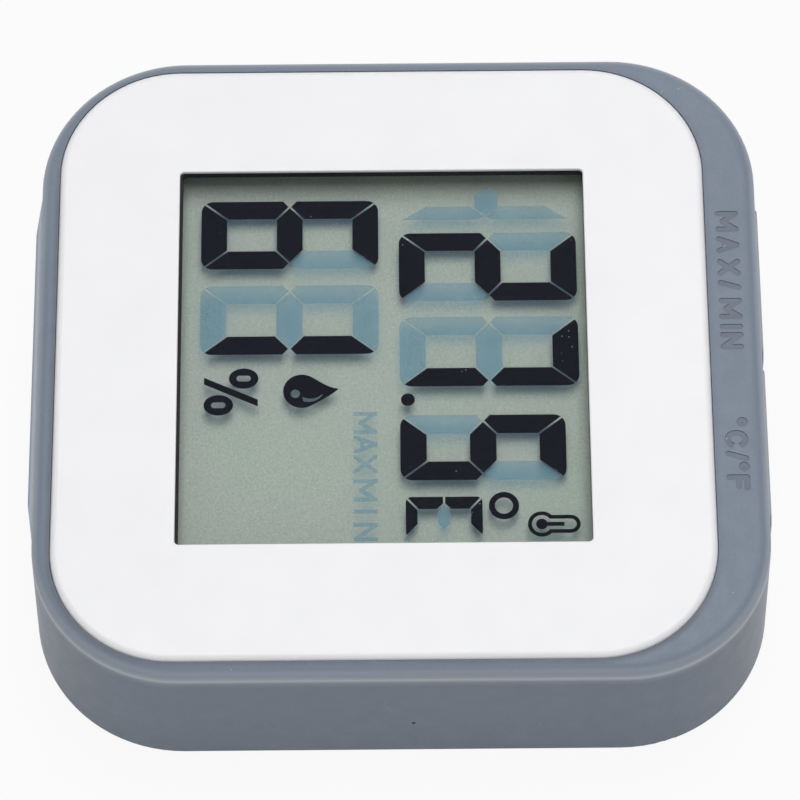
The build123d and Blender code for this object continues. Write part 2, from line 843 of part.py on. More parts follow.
def make_back_case():
    """The back shell: vents, screw seats and the bay with its bayonet groove."""
    inner_length = panel_length - 2 * case_wall
    inner_width = case_width - 2 * case_wall
    tray = block(panel_length, case_width, case_back, case_split, panel_corner, y=case_y)
    tray -= block(inner_length, inner_width, back_inner, case_split, case_inner_corner, y=case_y)
    tongue_length = inner_length - 2 * shell_fit
    tongue_width = inner_width - 2 * shell_fit
    tongue_corner = case_inner_corner - shell_fit
    tongue_top = case_split + tongue_height
    tongue = block(tongue_length, tongue_width, back_inner, tongue_top, tongue_corner, y=case_y)
    tongue -= block(tongue_length - 2 * tongue_wall, tongue_width - 2 * tongue_wall, back_inner, tongue_top,
                    tongue_corner - tongue_wall, y=case_y)
    for x, y in boss_places():
        tongue -= disc(boss_radius + board_notch_clearance, back_inner, tongue_top, x, y)
    for side in (-1, 1):
        spare = 2 * (key_flange_reach + key_fit)
        tongue -= wall_block(key_length + spare, key_height + spare, key_inner_y - button_travel - key_fit,
                             case_top_y, key_height / 4, side * pad_x, switch_z)
    shell = tray + tongue
    for x, y in boss_places():
        shell += disc(boss_radius, back_inner, case_split, x, y)
    for x, y in boss_places():
        shell -= disc(case_screw_head_radius + screw_clearance, case_back - cut_overrun,
                      case_back + case_screw_head_height, x, y)
        shell -= disc(case_screw_radius + screw_clearance, case_back, case_split + cut_overrun, x, y)
    tower_radius = neck_outer + tab_reach + tab_clearance + bay_wall
    shell += disc(tower_radius, back_inner, groove_top + bay_wall, y=bay_y)
    shell += disc(cell_radius + bay_clearance + bay_wall, back_inner, bay_top + bay_floor, y=bay_y)
    shell -= make_bay_space()
    for row in range(vent_rows):
        x = (row - (vent_rows - 1) / 2) * vent_pitch
        shell -= block(vent_width, vent_length, case_back - cut_overrun, back_inner + cut_overrun,
                       vent_width / 2 * full_corner_share, x, sensor_y)
    return shell


def make_bay_space():
    """What is cut out of the back case for cell, door, tabs and contacts."""
    space = disc(door_radius + door_fit, case_back - cut_overrun, back_inner + door_gap / 2, y=bay_y)
    space += disc(neck_outer + neck_fit, case_back, groove_top, y=bay_y)
    space += disc(cell_radius + bay_clearance, case_back, bay_top, y=bay_y)
    groove_radius = neck_outer + tab_reach + tab_clearance
    groove = disc(groove_radius, back_inner, groove_top)
    notch = disc(groove_radius, case_back - cut_overrun, groove_top)
    for angle in door_angles:
        start = angle - door_turn - tab_angle / 2 - tab_side_clearance
        span = tab_angle + 2 * tab_side_clearance
        way = sector(groove_radius, start, span + door_turn, back_inner, groove_top)
        way_in = sector(groove_radius, start, span, case_back - cut_overrun, groove_top)
        space += Pos(0, bay_y) * (groove & way) + Pos(0, bay_y) * (notch & way_in)
    recess = positive_recess + bay_clearance
    space += block(recess + cell_radius / 2, positive_width + 2 * leg_fit, groove_top, bay_top,
                   x=cell_radius + recess - (recess + cell_radius / 2) / 2, y=bay_y)
    space += block(strip_thickness + 2 * leg_fit, leg_width + 2 * leg_fit, bay_top - cut_overrun,
                   bay_top + bay_floor + cut_overrun, x=positive_leg_x, y=bay_y)
    space += block(strip_thickness + 2 * leg_fit, leg_width + 2 * leg_fit, bay_top - cut_overrun,
                   bay_top + bay_floor + cut_overrun, x=negative_leg_x, y=bay_y)
    return space


def make_positive_contact():
    """A strip that stands beside the cell's wall, with a leg through the bay floor to the board."""
    strip = block(strip_thickness, positive_width, groove_top, bay_top, x=positive_leg_x, y=bay_y)
    leg = block(strip_thickness, leg_width, bay_top, board_back, x=positive_leg_x, y=bay_y)
    return strip + leg


def make_negative_contact():
    """A leaf spring between the bay floor and the cell, with a leg to the board."""
    x = negative_leg_x
    top = bay_top
    cell_top = cell_low + cell_thickness + contact_gap
    reach = 2 * negative_reach
    tip = x + reach
    foot = x + reach / 4
    thin = strip_thickness
    start = x - strip_thickness / 2
    outline = Polygon((start, top), (start, top - thin), (foot, top - thin), (x + reach / 2, cell_top),
                      (tip - reach / 4, cell_top + thin), (tip - reach / 4, cell_top + 2 * thin),
                      (x + reach / 2, cell_top + thin), (foot + thin, top), align=None)
    upright = Plane((0, bay_y, 0), x_dir=(1, 0, 0), z_dir=(0, -1, 0))
    leaf = extrude(upright * outline, negative_width / 2, both=True)
    leg = block(strip_thickness, leg_width, top, board_back, x=x, y=bay_y)
    return leaf + leg


def make_coin_cell():
    """The coin cell: a wide cup with its plus face down, and a smaller cap on top."""
    cup_top = cell_low + cell_thickness - cell_step
    cup = disc(cell_radius, cell_low, cup_top, y=bay_y)
    cup = fillet(edges_at(cup, cell_low), cell_step)
    cap = disc(cell_radius - cell_rim, cup_top, cup_top + cell_step, y=bay_y)
    return cup + cap


def make_battery_door():
    """The round door: a flat disc with a coin slot, a neck round the cell and three tabs."""
    door = disc(door_radius, case_back, case_back + door_thickness)
    door = chamfer(edges_at(door, case_back), door_fit)
    neck_low = case_back + door_thickness
    tab_low = back_inner + door_gap
    tab_top = tab_low + tab_height
    door += disc(neck_outer, neck_low, tab_top)
    for angle in door_angles:
        blade = disc(neck_outer + tab_reach, tab_low, tab_top)
        door += blade & sector(neck_outer + tab_reach, angle - tab_angle / 2, tab_angle, tab_low, tab_top)
    door -= disc(neck_outer - neck_wall, neck_low, tab_top)
    slot = extrude(SlotOverall(coin_slot_length, coin_slot_width), coin_slot_depth + cut_overrun)
    door -= Pos(0, 0, case_back - cut_overrun) * slot
    return Pos(0, bay_y) * door


def make_chip_blob():
    """The resin drop over the chip, on the board's front face."""
    sphere_radius = (blob_radius ** 2 + blob_height ** 2) / (2 * blob_height)
    ball = Pos(0, panel_y, board_top + blob_height - sphere_radius) * Sphere(sphere_radius)
    return ball & disc(blob_radius, board_top, board_top + blob_height, y=panel_y)


# Places of the small parts on the board's front face, as shares of the board's half length and height
small_part_shares = [(-0.45, 0.3), (-0.45, 0.1), (-0.45, -0.1), (0.45, 0.3), (0.45, 0.1), (0.45, -0.1),
                     (-0.2, -0.4), (0.2, -0.4)]


def make_small_parts():
    half = board_length / 2
    return [block(chip_part_length, chip_part_width, board_top, board_top + chip_part_height,
                  x=x * half, y=panel_y + y * half) for x, y in small_part_shares]


def make_crystal():
    """The clock crystal, a small can lying under the board, with two leads."""
    x = post_x - board_screw_head_radius - crystal_radius - crystal_gap
    y = panel_y + board_length / 2 * crystal_y_share
    z = board_back - crystal_radius
    can = Pos(x, y, z) * Rot(90, 0, 0) * Cylinder(crystal_radius, crystal_length)
    lead_y = y + crystal_length / 2
    for side in (-1, 1):
        lead_x = x + side * crystal_radius / 2
        can += block(lead_thickness, 2 * crystal_radius, z, board_back, x=lead_x, y=lead_y + crystal_radius)
    return can


def make_humidity_sensor():
    """A thin sensing plate on two leads, over the vents."""
    top = board_back - sensor_stand
    plate = block(sensor_length, sensor_width, top - sensor_thickness, top, x=-sensor_x, y=sensor_y)
    for side in (-1, 1):
        plate += block(lead_thickness, lead_thickness, top, board_back,
                       x=-sensor_x + side * sensor_width / 4, y=sensor_y)
    return plate


def make_thermistor():
    """A resin bead on two leads, over the vents."""
    z = board_back - bead_stand
    bead = Pos(sensor_x, sensor_y, z) * Sphere(bead_radius)
    for side in (-1, 1):
        bead += block(lead_thickness, lead_thickness, z, board_back,
                      x=sensor_x + side * bead_radius / 2, y=sensor_y)
    return bead


def make_board_screws():
    low = board_back - board_screw_head_height
    screw = make_screw(board_screw_radius, board_screw_head_radius, board_screw_head_height, low,
                       board_top + board_screw_bite)
    return [Pos(x, y) * screw for x, y in post_places()]


def make_case_screws():
    screw = make_screw(case_screw_radius, case_screw_head_radius, case_screw_head_height, case_back,
                       case_split + case_screw_bite)
    return [Pos(x, y) * screw for x, y in boss_places()]


def strip(width, y, high):
    """A soft strip that stands on the board and backs the display."""
    return block(display_length - 2 * strip_end, width, board_top, high, y=y)


nodes = {
    "silicone_sleeve": make_sleeve(),
    "range_button_pad": make_pad(-1),
    "unit_button_pad": make_pad(1),
    "range_button_key": make_key(-1),
    "unit_button_key": make_key(1),
    "range_switch_plunger": make_plunger(-1),
    "unit_switch_plunger": make_plunger(1),
    "range_switch_body": make_switch_body(-1),
    "unit_switch_body": make_switch_body(1),
    "range_switch_dome": make_dome(-1),
    "unit_switch_dome": make_dome(1),
    "front_case": make_front_case(),
    "display_gasket": make_gasket(),
    "display_front_polariser": display_sheet(glass_top, display_top, polariser_inset),
    "display_front_glass": display_sheet(figure_level, glass_top, shelf=contact_shelf),
    "display_lit_figures": figure_solids(lit_figures()),
    "display_idle_figures": figure_solids(idle_figures()),
    "display_edge_seal": make_edge_seal(),
    "display_rear_glass": display_sheet(reflector_top, rear_glass_top),
    "display_reflector": display_sheet(display_back, reflector_top),
    "zebra_strip": strip(zebra_width, zebra_y, figure_level),
    "foam_strip": strip(foam_width, panel_y + display_width / 2 - foam_width, display_back),
    "circuit_board": make_board(),
    "chip_blob": make_chip_blob(),
    "small_board_parts": make_small_parts(),
    "clock_crystal": make_crystal(),
    "humidity_sensor": make_humidity_sensor(),
    "thermistor": make_thermistor(),
    "board_screws": make_board_screws(),
    "back_case": make_back_case(),
    "case_screws": make_case_screws(),
    "coin_cell": make_coin_cell(),
    "positive_contact": make_positive_contact(),
    "negative_contact": make_negative_contact(),
    "battery_door": make_battery_door(),
}

os.makedirs("parts", exist_ok=True)
for name, shape in nodes.items():
    solid = Compound(children=shape) if isinstance(shape, list) else shape
    export_step(solid, f"parts/{name}.step")
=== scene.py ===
from math import cos, radians, sin

import bpy
from mathutils import Matrix, Vector


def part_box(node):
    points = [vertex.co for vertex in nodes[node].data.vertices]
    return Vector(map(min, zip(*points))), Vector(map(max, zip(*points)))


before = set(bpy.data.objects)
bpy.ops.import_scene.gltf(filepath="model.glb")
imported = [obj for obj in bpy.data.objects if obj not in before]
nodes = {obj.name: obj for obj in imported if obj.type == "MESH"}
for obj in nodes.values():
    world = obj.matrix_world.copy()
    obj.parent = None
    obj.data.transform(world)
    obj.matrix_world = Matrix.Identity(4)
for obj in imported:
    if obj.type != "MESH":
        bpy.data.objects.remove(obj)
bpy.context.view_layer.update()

# The room thermometer lies on its back. X is the reading direction, Y the top of the display, Z out of it.
MM = 0.001
sleeve_low, sleeve_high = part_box("silicone_sleeve")
panel_low, panel_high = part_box("front_case")

# Camera, as the photograph was taken: over the right wall, with a long lens
SENSOR = 36.0
PHOTO_SIDE = 800
FOCAL_PIXELS = 4649.56
CAMERA_ELEVATION = radians(62.736)
CAMERA_ROLL = radians(-0.477)
CAMERA_DISTANCE = 380.84 * MM
CAMERA_TARGET = Vector((4.248 * MM, -0.001 * MM, panel_high.z))


def make_camera():
    """The photograph's camera. Its right is the device's +Y, and it stands on the +X side."""
    back = Vector((cos(CAMERA_ELEVATION), 0, sin(CAMERA_ELEVATION)))
    right = Vector((0, 1, 0))
    up = Vector((-sin(CAMERA_ELEVATION), 0, cos(CAMERA_ELEVATION)))
    tilted_right = cos(CAMERA_ROLL) * right + sin(CAMERA_ROLL) * up
    tilted_up = cos(CAMERA_ROLL) * up - sin(CAMERA_ROLL) * right
    data = bpy.data.cameras.new("photo_camera")
    data.sensor_width = SENSOR
    data.lens = SENSOR * FOCAL_PIXELS / PHOTO_SIDE
    data.clip_start = CAMERA_DISTANCE / 100
    data.clip_end = CAMERA_DISTANCE * 100
    camera = bpy.data.objects.new("photo_camera", data)
    turn = Matrix((tilted_right, tilted_up, back)).transposed().to_4x4()
    camera.matrix_world = Matrix.Translation(CAMERA_TARGET + back * CAMERA_DISTANCE) @ turn
    bpy.context.scene.collection.objects.link(camera)
    bpy.context.scene.camera = camera


def srgb(red, green, blue):
    """A colour given in 0 to 255 as the screen shows it."""
    shares = (red / 255, green / 255, blue / 255)
    return (*[c / 12.92 if c <= 0.04045 else ((c + 0.055) / 1.055) ** 2.4 for c in shares], 1.0)


def grey(value):
    """A linear grey."""
    return (value, value, value, 1.0)


# Where a noise pattern counts as its darkest and as its lightest
NOISE_SPAN = (0.3, 0.7)


class Shader:
    """A node tree with short calls for what the materials here need."""

    def __init__(self, name):
        self.material = bpy.data.materials.new(name)
        self.material.use_nodes = True
        self.tree = self.material.node_tree
        self.tree.nodes.clear()
        self.output = self.add("ShaderNodeOutputMaterial")
        self.place = self.add("ShaderNodeTexCoord").outputs["Object"]

    def add(self, kind, **settings):
        """A new node with its settings."""
        node = self.tree.nodes.new(kind)
        for name, value in settings.items():
            setattr(node, name, value)
        return node

    def join(self, source, target):
        """A link from an output to an input."""
        self.tree.links.new(source, target)

    def noise(self, size, detail=2.0, roughness=0.5, stretch=(1, 1, 1)):
        """Noise whose blobs are about one size, in metres."""
        mapping = self.add("ShaderNodeMapping")
        mapping.inputs["Scale"].default_value = [s / size for s in stretch]
        self.join(self.place, mapping.inputs["Vector"])
        noise = self.add("ShaderNodeTexNoise")
        noise.inputs["Scale"].default_value = 1.0
        noise.inputs["Detail"].default_value = detail
        noise.inputs["Roughness"].default_value = roughness
        self.join(mapping.outputs[0], noise.inputs["Vector"])
        return noise.outputs["Fac"]

    def cells(self, size):
        """The distance from the middle of the nearest of many cells of about one size, in metres."""
        mapping = self.add("ShaderNodeMapping")
        mapping.inputs["Scale"].default_value = [1 / size] * 3
        self.join(self.place, mapping.inputs["Vector"])
        cells = self.add("ShaderNodeTexVoronoi")
        cells.inputs["Scale"].default_value = 1.0
        self.join(mapping.outputs[0], cells.inputs["Vector"])
        return cells.outputs["Distance"]

    def ramp(self, source, stops):
        """A colour ramp from a list of place and colour."""
        ramp = self.add("ShaderNodeValToRGB")
        elements = ramp.color_ramp.elements
        while len(elements) < len(stops):
            elements.new(0.5)
        for element, (place, colour) in zip(elements, stops):
            element.position = place
            element.color = colour
        self.join(source, ramp.inputs["Fac"])
        return ramp.outputs["Color"]

    def spread(self, source, low, high, out_low=0.0, out_high=1.0):
        """Takes the range from low to high to another range, and holds it at both ends."""
        spread = self.add("ShaderNodeMapRange")
        spread.inputs["From Min"].default_value = low
        spread.inputs["From Max"].default_value = high
        spread.inputs["To Min"].default_value = out_low
        spread.inputs["To Max"].default_value = out_high
        self.join(source, spread.inputs["Value"])
        return spread.outputs[0]

    def uneven(self, pattern, low, high):
        """A value that wanders between two others with a noise pattern."""
        return self.spread(pattern, *NOISE_SPAN, low, high)

    def two_tone(self, pattern, dark, light):
        """A colour that wanders between two others with a noise pattern."""
        return self.ramp(pattern, list(zip(NOISE_SPAN, (dark, light))))

    def band(self, source, stretch, stops):
        """A share that follows a list of place and share over a stretch, in metres."""
        return self.ramp(self.spread(source, 0.0, stretch), [(place, grey(share)) for place, share in stops])

    def specks(self, spacing, edge, patch_size, patch_edge, most=1.0):
        """Small round specks that come in patches. The edges say where specks and patches fade out."""
        dots = self.spread(self.cells(spacing), *edge)
        patches = self.spread(self.noise(patch_size, detail=0), *patch_edge, 0.0, most)
        return self.maths("MULTIPLY", dots, patches)

    def mix(self, factor, first, second):
        """Two colours mixed by a factor. Each is a plain colour or a node's output."""
        mix = self.add("ShaderNodeMix", data_type="RGBA")
        self.join(factor, mix.inputs["Factor"])
        for socket, value in ((mix.inputs[6], first), (mix.inputs[7], second)):
            if isinstance(value, tuple):
                socket.default_value = value
            else:
                self.join(value, socket)
        return mix.outputs[2]

    def bump(self, height, distance, normal=None):
        """A fine relief, on top of another one if that is given."""
        bump = self.add("ShaderNodeBump")
        bump.inputs["Distance"].default_value = distance
        self.join(height, bump.inputs["Height"])
        if normal is not None:
            self.join(normal, bump.inputs["Normal"])
        return bump.outputs[0]

    def maths(self, operation, first, second):
        """One operation on two values, each a number or a node's output."""
        maths = self.add("ShaderNodeMath", operation=operation)
        for socket, value in zip(maths.inputs, (first, second)):
            if isinstance(value, float):
                socket.default_value = value
            else:
                self.join(value, socket)
        return maths.outputs[0]

    def blend(self, factor, first, second):
        """Two shaders mixed by a factor, and joined to the output."""
        mix = self.add("ShaderNodeMixShader")
        self.join(factor, mix.inputs[0])
        self.join(first.outputs[0], mix.inputs[1])
        self.join(second.outputs[0], mix.inputs[2])
        self.join(mix.outputs[0], self.output.inputs["Surface"])
        return mix

    def surface(self, colour, roughness, normal=None, metallic=0.0, **sockets):
        """The main shader. A colour or roughness may be a plain value or a node's output."""
        shader = self.add("ShaderNodeBsdfPrincipled")
        shader.inputs["Metallic"].default_value = metallic
        for name, value in (("Base Color", colour), ("Roughness", roughness)):
            if isinstance(value, (tuple, float)):
                shader.inputs[name].default_value = value
            else:
                self.join(value, shader.inputs[name])
        for name, value in sockets.items():
            shader.inputs[name.replace("_", " ")].default_value = value
        if normal is not None:
            self.join(normal, shader.inputs["Normal"])
        self.join(shader.outputs[0], self.output.inputs["Surface"])
        return shader


def varied(shader, source, colour, share):
    """A colour that darkens and lightens by a share with a pattern."""
    dark = tuple(c * (1 - share) for c in colour[:3]) + (1.0,)
    light = tuple(min(c * (1 + share), 1.0) for c in colour[:3]) + (1.0,)
    return shader.two_tone(source, dark, light)


# The bands of painted light and painted shade on the silicone. Each is a list of places along a stretch of depth or
# distance, with the share reached there. Sides are named as the camera sees them: near is +X, far -X, right +Y and
# left -Y. A pair of lengths says where a side's part starts and where it is full.

# A painted highlight along the rolled edge, by the depth under the rim
HIGHLIGHT_STRETCH = 4 * MM
HIGHLIGHT_BAND = [
    (0.0, 0.0), (0.03, 0.04), (0.08, 0.3), (0.16, 0.42), (0.24, 0.7), (0.29, 1.0), (0.34, 0.75), (0.42, 0.2),
    (0.6, 0.0),
]
HIGHLIGHT_COLOUR = srgb(188, 195, 205)

# Painted light on the far side, and on the far end of the left side, by the depth under the rim
PAINTED_LIGHT_STRETCH = 1 * MM
PAINTED_LIGHT_BAND = [(0.0, 0.04), (0.04, 0.12), (0.12, 0.25), (0.3, 0.4), (0.6, 0.55)]
PAINTED_LIGHT_COLOUR = srgb(172, 179, 189)
PAINTED_LIGHT_FAR = (-20 * MM, -26.5 * MM)
PAINTED_LIGHT_LEFT = (-20 * MM, -27 * MM)
PAINTED_LIGHT_LEFT_END = (-8 * MM, -16 * MM)
PAINTED_LIGHT_LEFT_SHARE = 0.4

# Painted shade on the level floors of the debossed letters: the depths and the places along Y between which they
# lie
LETTER_START = (0.02 * MM, 0.05 * MM)
LETTER_END = (0.12 * MM, 0.1 * MM)
LETTER_SIDE = (26 * MM, 26.5 * MM)
LETTER_FLOOR_SHADE = srgb(104, 113, 127)
FACING_UP = (0.97, 0.99)

# A painted shade line on the rim beside the white panel, by the distance from it, and its least and greatest
# strength
PANEL_CORNER = 10 * MM
PANEL_SHADE_STRETCH = 1 * MM
PANEL_SHADE_BAND = [(0.0, 1.0), (0.2, 0.95), (0.35, 0.6), (0.55, 0.0)]
PANEL_SHADE_STRENGTH = (0.08, 0.33)
PANEL_SHADE_NEAR = (18 * MM, 25 * MM)
PANEL_SHADE_LEFT = (-18 * MM, -26 * MM)
PANEL_SHADE_LEFT_END = (-22 * MM, -14 * MM)
PANEL_SHADE_LEFT_LEAST = 0.2


def distance_from_panel(s, at):
    """How far a point of the rim lies outside the white panel's rounded outline."""
    film_low, film_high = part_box("display_front_polariser")
    middle = (film_low.y + film_high.y) / 2
    squares = []
    for axis, centre, half in (("X", 0.0, panel_high.x), ("Y", middle, middle - panel_low.y)):
        aside = s.maths("ABSOLUTE", s.maths("SUBTRACT", at[axis], centre), 0.0)
        past_corner = s.maths("MAXIMUM", s.maths("SUBTRACT", aside, half - PANEL_CORNER), 0.0)
        squares.append(s.maths("POWER", past_corner, 2.0))
    return s.maths("SUBTRACT", s.maths("SQRT", s.maths("ADD", *squares), 0.0), PANEL_CORNER)


def paint_edge_highlight_and_side_light(s, base, at, depth):
    """Paints a highlight along the rolled edge, and paints light on the far side and the far end of the left side.
    """
    base = s.mix(s.band(depth, HIGHLIGHT_STRETCH, HIGHLIGHT_BAND), base, HIGHLIGHT_COLOUR)
    far = s.spread(at["X"], *PAINTED_LIGHT_FAR)
    left = s.spread(at["Y"], *PAINTED_LIGHT_LEFT, 0.0, PAINTED_LIGHT_LEFT_SHARE)
    left = s.maths("MULTIPLY", left, s.spread(at["X"], *PAINTED_LIGHT_LEFT_END))
    lit_side_share = s.maths("MAXIMUM", far, left)
    return s.mix(s.maths("MULTIPLY", lit_side_share, s.band(depth, PAINTED_LIGHT_STRETCH, PAINTED_LIGHT_BAND)), base, PAINTED_LIGHT_COLOUR)


def paint_letter_floor_shade(s, base, at, depth):
    """Paints shade on the level floors of the debossed letters."""
    facing = s.add("ShaderNodeSeparateXYZ")
    s.join(s.add("ShaderNodeTexCoord").outputs["Normal"], facing.inputs[0])
    floors = s.maths("MULTIPLY", s.spread(depth, *LETTER_START), s.spread(facing.outputs["Z"], *FACING_UP))
    floors = s.maths("MULTIPLY", floors, s.spread(depth, *LETTER_END))
    return s.mix(s.maths("MULTIPLY", floors, s.spread(at["Y"], *LETTER_SIDE)), base, LETTER_FLOOR_SHADE)


def paint_shade_beside_panel(s, base, at):
    """Paints shade on the rim beside the white panel, most on the near and the left side."""
    near = s.spread(at["X"], *PANEL_SHADE_NEAR, *PANEL_SHADE_STRENGTH)
    left = s.spread(at["Y"], *PANEL_SHADE_LEFT, *PANEL_SHADE_STRENGTH)
    left = s.maths("MULTIPLY", left, s.spread(at["X"], *PANEL_SHADE_LEFT_END, PANEL_SHADE_LEFT_LEAST, 1.0))
    beside = s.band(distance_from_panel(s, at), PANEL_SHADE_STRETCH, PANEL_SHADE_BAND)
    return s.mix(s.maths("MULTIPLY", beside, s.maths("MAXIMUM", near, left)), base, grey(0.0))


def silicone():
    """Matt moulded silicone: a fine dry skin, a painted edge highlight, painted light and shade, and specks of
    dust.
    """
    s = Shader("grey_silicone")
    base = varied(s, s.noise(0.25 * MM, detail=4, roughness=0.7), srgb(116, 127, 142), 0.06)
    place = s.add("ShaderNodeSeparateXYZ")
    s.join(s.place, place.inputs[0])
    at = place.outputs
    depth = s.maths("SUBTRACT", sleeve_high.z, at["Z"])
    # Painted highlight and painted light on the rim, then painted shade in the letter floors and beside the panel
    base = paint_edge_highlight_and_side_light(s, base, at, depth)
    base = paint_letter_floor_shade(s, base, at, depth)
    base = paint_shade_beside_panel(s, base, at)
    dust = s.specks(0.9 * MM, (0.055, 0.035), 3.1 * MM, (0.6, 0.64))
    colour = s.mix(dust, base, srgb(205, 210, 216))
    roughness = s.uneven(s.noise(1.5 * MM, detail=4), 0.5, 0.6)
    grain = s.bump(s.noise(0.07 * MM, detail=3), 0.006 * MM)
    skin = s.bump(s.noise(1.8 * MM, detail=2), 0.012 * MM, grain)
    s.surface(colour, roughness, skin, Sheen_Weight=0.2, Sheen_Roughness=0.4, Specular_IOR_Level=0.42)
    return s.material


def white_plastic():
    """White moulded plastic with a very fine spark texture."""
    s = Shader("white_plastic")
    colour = varied(s, s.noise(9 * MM, detail=2), srgb(237, 237, 240), 0.008)
    roughness = s.uneven(s.noise(2 * MM, detail=4), 0.36, 0.42)
    normal = s.bump(s.noise(0.09 * MM, detail=2), 0.0025 * MM)
    shader = s.surface(colour, roughness, normal, Specular_IOR_Level=0.45, Subsurface_Weight=0.5)
    shader.inputs["Subsurface Radius"].default_value = (1, 1, 1)
    shader.inputs["Subsurface Scale"].default_value = 0.3 * MM
    return s.material


def moulded(name, colour, roughness):
    """A plain engineering plastic, faintly uneven."""
    s = Shader(name)
    base = varied(s, s.noise(1.2 * MM, detail=3), colour, 0.06)
    rough = s.uneven(s.noise(0.6 * MM, detail=3), roughness - 0.05, roughness + 0.05)
    s.surface(base, rough, s.bump(s.noise(0.08 * MM), 0.004 * MM))
    return s.material


def black_foam():
    """Dense black foam with open pores."""
    s = Shader("black_foam")
    pores = s.cells(0.16 * MM)
    colour = s.ramp(pores, [(0.1, srgb(22, 22, 24)), (0.6, srgb(48, 48, 50))])
    s.surface(colour, 0.85, s.bump(pores, 0.03 * MM), Specular_IOR_Level=0.2)
    return s.material


# Refraction of the film's gloss, and of the rear glass against the layers bonded to it
FILM_IOR = 1.45
BONDED_IOR = 1.04


def polariser():
    """A clear film with a fine matt grain in its gloss, and a little dust."""
    s = Shader("polariser_film")
    clear = s.add("ShaderNodeBsdfTransparent")
    clear.inputs["Color"].default_value = srgb(252, 254, 252)
    gloss = s.add("ShaderNodeBsdfGlossy")
    s.join(s.uneven(s.noise(2.5 * MM, detail=3), 0.16, 0.22), gloss.inputs["Roughness"])
    fresnel = s.add("ShaderNodeFresnel")
    fresnel.inputs["IOR"].default_value = FILM_IOR
    grain = s.uneven(s.noise(0.1 * MM, detail=3, roughness=0.7), 0.0, 0.11)
    film = s.blend(s.maths("MULTIPLY", fresnel.outputs[0], grain), clear, gloss)
    dust = s.add("ShaderNodeBsdfDiffuse")
    dust.inputs["Color"].default_value = srgb(200, 205, 215)
    s.blend(s.specks(0.75 * MM, (0.07, 0.04), 1.9 * MM, (0.56, 0.6), most=0.6), film, dust)
    return s.material


def glass_tint(s):
    """The faint uneven green of display glass."""
    return s.two_tone(s.noise(8 * MM), srgb(253, 255, 253), srgb(255, 255, 255))


def front_glass():
    """The clear front glass. Its faces are bonded, so it has next to no gloss of its own."""
    s = Shader("front_glass")
    clear = s.add("ShaderNodeBsdfTransparent")
    s.join(glass_tint(s), clear.inputs["Color"])
    s.join(clear.outputs[0], s.output.inputs["Surface"])
    return s.material


def rear_glass():
    """The rear glass, bonded on both sides, so it hardly bends the light."""
    s = Shader("rear_glass")
    glass = s.add("ShaderNodeBsdfGlass")
    glass.inputs["Roughness"].default_value = 0.0
    glass.inputs["IOR"].default_value = BONDED_IOR
    s.join(glass_tint(s), glass.inputs["Color"])
    s.join(glass.outputs[0], s.output.inputs["Surface"])
    return s.material


def reflector():
    """The grey green rear film: fine grained, with small bright painted highlights."""
    s = Shader("reflector_film")
    grain = s.noise(0.2 * MM, detail=4, roughness=0.8)
    base = s.two_tone(grain, srgb(150, 158, 153), srgb(178, 186, 182))
    painted_glints = s.specks(0.35 * MM, (0.09, 0.05), 1.1 * MM, (0.56, 0.62))
    colour = s.mix(painted_glints, base, srgb(215, 222, 210))
    s.surface(colour, 0.6, s.bump(grain, 0.035 * MM), Specular_IOR_Level=0.3)
    return s.material


def crystal_figure(name, colour, cover, shade):
    """An area of the liquid crystal: how much it covers what is behind it, and the tint of its shadow."""
    s = Shader(name)
    tone = varied(s, s.noise(2.2 * MM, detail=3), colour, 0.06)
    face = s.surface(tone, 0.5, Specular_IOR_Level=0.0)
    through = s.add("ShaderNodeBsdfTransparent")
    if cover < 1:
        cloud = s.uneven(s.noise(2.5 * MM, detail=2), cover - 0.02, cover + 0.02)
        face = s.blend(cloud, through, face)
    shadow = s.add("ShaderNodeBsdfTransparent")
    shadow.inputs["Color"].default_value = shade
    path = s.add("ShaderNodeLightPath")
    s.blend(path.outputs["Is Shadow Ray"], face, shadow)
    return s.material


def board_laminate():
    """Green solder mask over copper tracks."""
    s = Shader("board_laminate")
    tracks = s.spread(s.noise(1.4 * MM, detail=0, stretch=(1, 3, 1)), 0.5, 0.52)
    colour = s.mix(tracks, srgb(22, 92, 52), srgb(34, 118, 66))
    s.surface(colour, 0.35, s.bump(tracks, 0.03 * MM), Coat_Weight=0.4)
    return s.material


def metal(name, colour, roughness, grain=(1, 1, 8)):
    """Plated or brushed metal with fine drawn lines."""
    s = Shader(name)
    lines = s.noise(0.5 * MM, detail=4, stretch=grain)
    rough = s.uneven(lines, roughness * 0.8, roughness * 1.2)
    base = varied(s, s.noise(2 * MM, detail=3), colour, 0.05)
    s.surface(base, rough, s.bump(lines, 0.004 * MM), metallic=1.0)
    return s.material


# Scale of the connector's wave pattern, whose layers then lie 0.19 mm apart
ZEBRA_SCALE = 5000 / 3


def layered_rubber():
    """Rubber connector with thin conducting layers."""
    s = Shader("zebra_rubber")
    wave = s.add("ShaderNodeTexWave", wave_type="BANDS", bands_direction="X")
    wave.inputs["Scale"].default_value = ZEBRA_SCALE
    s.join(s.place, wave.inputs["Vector"])
    colour = s.ramp(wave.outputs["Fac"], [(0.4, srgb(24, 24, 26)), (0.6, srgb(170, 180, 196))])
    s.surface(colour, 0.7)
    return s.material


def dress(material, *names):
    """Gives the named CAD nodes one material."""
    for name in names:
        for slot in nodes[name].material_slots:
            slot.material = material


